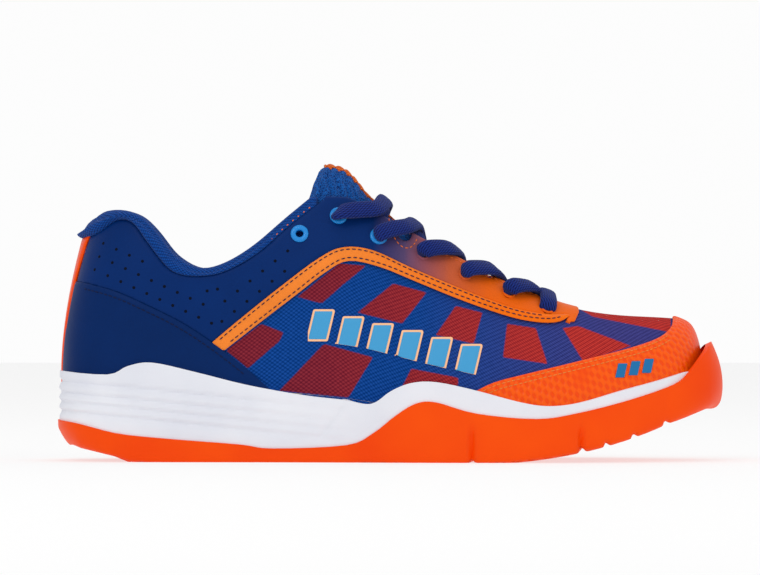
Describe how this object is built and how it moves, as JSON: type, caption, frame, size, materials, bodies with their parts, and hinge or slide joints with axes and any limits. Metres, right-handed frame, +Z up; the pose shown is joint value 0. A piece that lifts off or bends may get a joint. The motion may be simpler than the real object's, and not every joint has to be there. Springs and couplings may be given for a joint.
{
  "type": "court shoe",
  "caption": "Low-cut indoor court shoe for the right foot, with a laced throat, padded collar and tongue, wrapped rubber outsole and foam midsole.",
  "frame": {"origin": "on the floor under the middle of the shoe's length and width", "axes": "+X from heel to toe, +Z up, -Y the outer side of the foot, +Y the inner side"},
  "size_m": [0.2958, 0.1047, 0.1327],
  "materials": {
    "sole_rubber": "satin orange gum rubber",
    "sole_foam": "matte white moulded foam",
    "stiff_plastic": "matte dark stiffener",
    "cushion_gel": "soft blue cushion",
    "board_fibre": "pale fibre board",
    "insole_cloth": "dark knitted cover",
    "printed_mesh": "blue woven mesh with dark red printed blocks",
    "backing_foam": "laminated foam",
    "lining_knit": "smooth dark blue lining",
    "collar_knit": "blue knitted collar cloth",
    "toe_film": "glossy embossed orange",
    "panel_synthetic": "navy synthetic, smooth",
    "stripe_synthetic": "satin orange piping",
    "emblem_film": "light blue film",
    "eyelet_plastic": "light blue",
    "tongue_mesh": "open blue spacer mesh",
    "lace_weave": "navy flat weave"
  },
  "bodies": {
    "shoe": {"outsole": "sole_rubber", "midsole": "sole_foam", "shank": "stiff_plastic", "heel_insert": "cushion_gel", "insole_board": "board_fibre", "upper_mesh": "printed_mesh", "toe_puff": "stiff_plastic", "vamp_backing": "backing_foam", "heel_counter": "stiff_plastic", "collar_foam": "backing_foam", "vamp_lining": "lining_knit", "collar_lining": "collar_knit", "toe_cap": "toe_film", "quarter_panel_lateral": "panel_synthetic", "quarter_panel_medial": "panel_synthetic", "stripe_lateral": "stripe_synthetic", "stripe_medial": "stripe_synthetic", "heel_foxing_lateral": "panel_synthetic", "heel_foxing_medial": "panel_synthetic", "heel_strip": "stripe_synthetic", "side_emblem_lateral": "emblem_film", "side_emblem_medial": "emblem_film", "toe_emblem": "emblem_film", "eyelets_lateral": "eyelet_plastic", "eyelets_medial": "eyelet_plastic", "lace": "lace_weave", "aglets": "eyelet_plastic"},
    "tongue": {"tongue_face": "tongue_mesh", "tongue_strip": "stripe_synthetic", "tongue_foam": "backing_foam", "tongue_lining": "collar_knit"},
    "insole": {"insole": "insole_cloth"}
  },
  "joints": [
    {"name": "tongue_fold", "type": "hinge", "parent": "shoe", "child": "tongue", "pos_m": [0.095, 0, 0.058], "axis": [0, -1, 0], "range_deg": [0, 10], "stiffness_Nm_per_rad": 0.3},
    {"name": "insole_lift", "type": "hinge", "parent": "shoe", "child": "insole", "pos_m": [0.1345, 0, 0.0335], "axis": [0, 1, 0], "range_deg": [0, 5]}
  ]
}
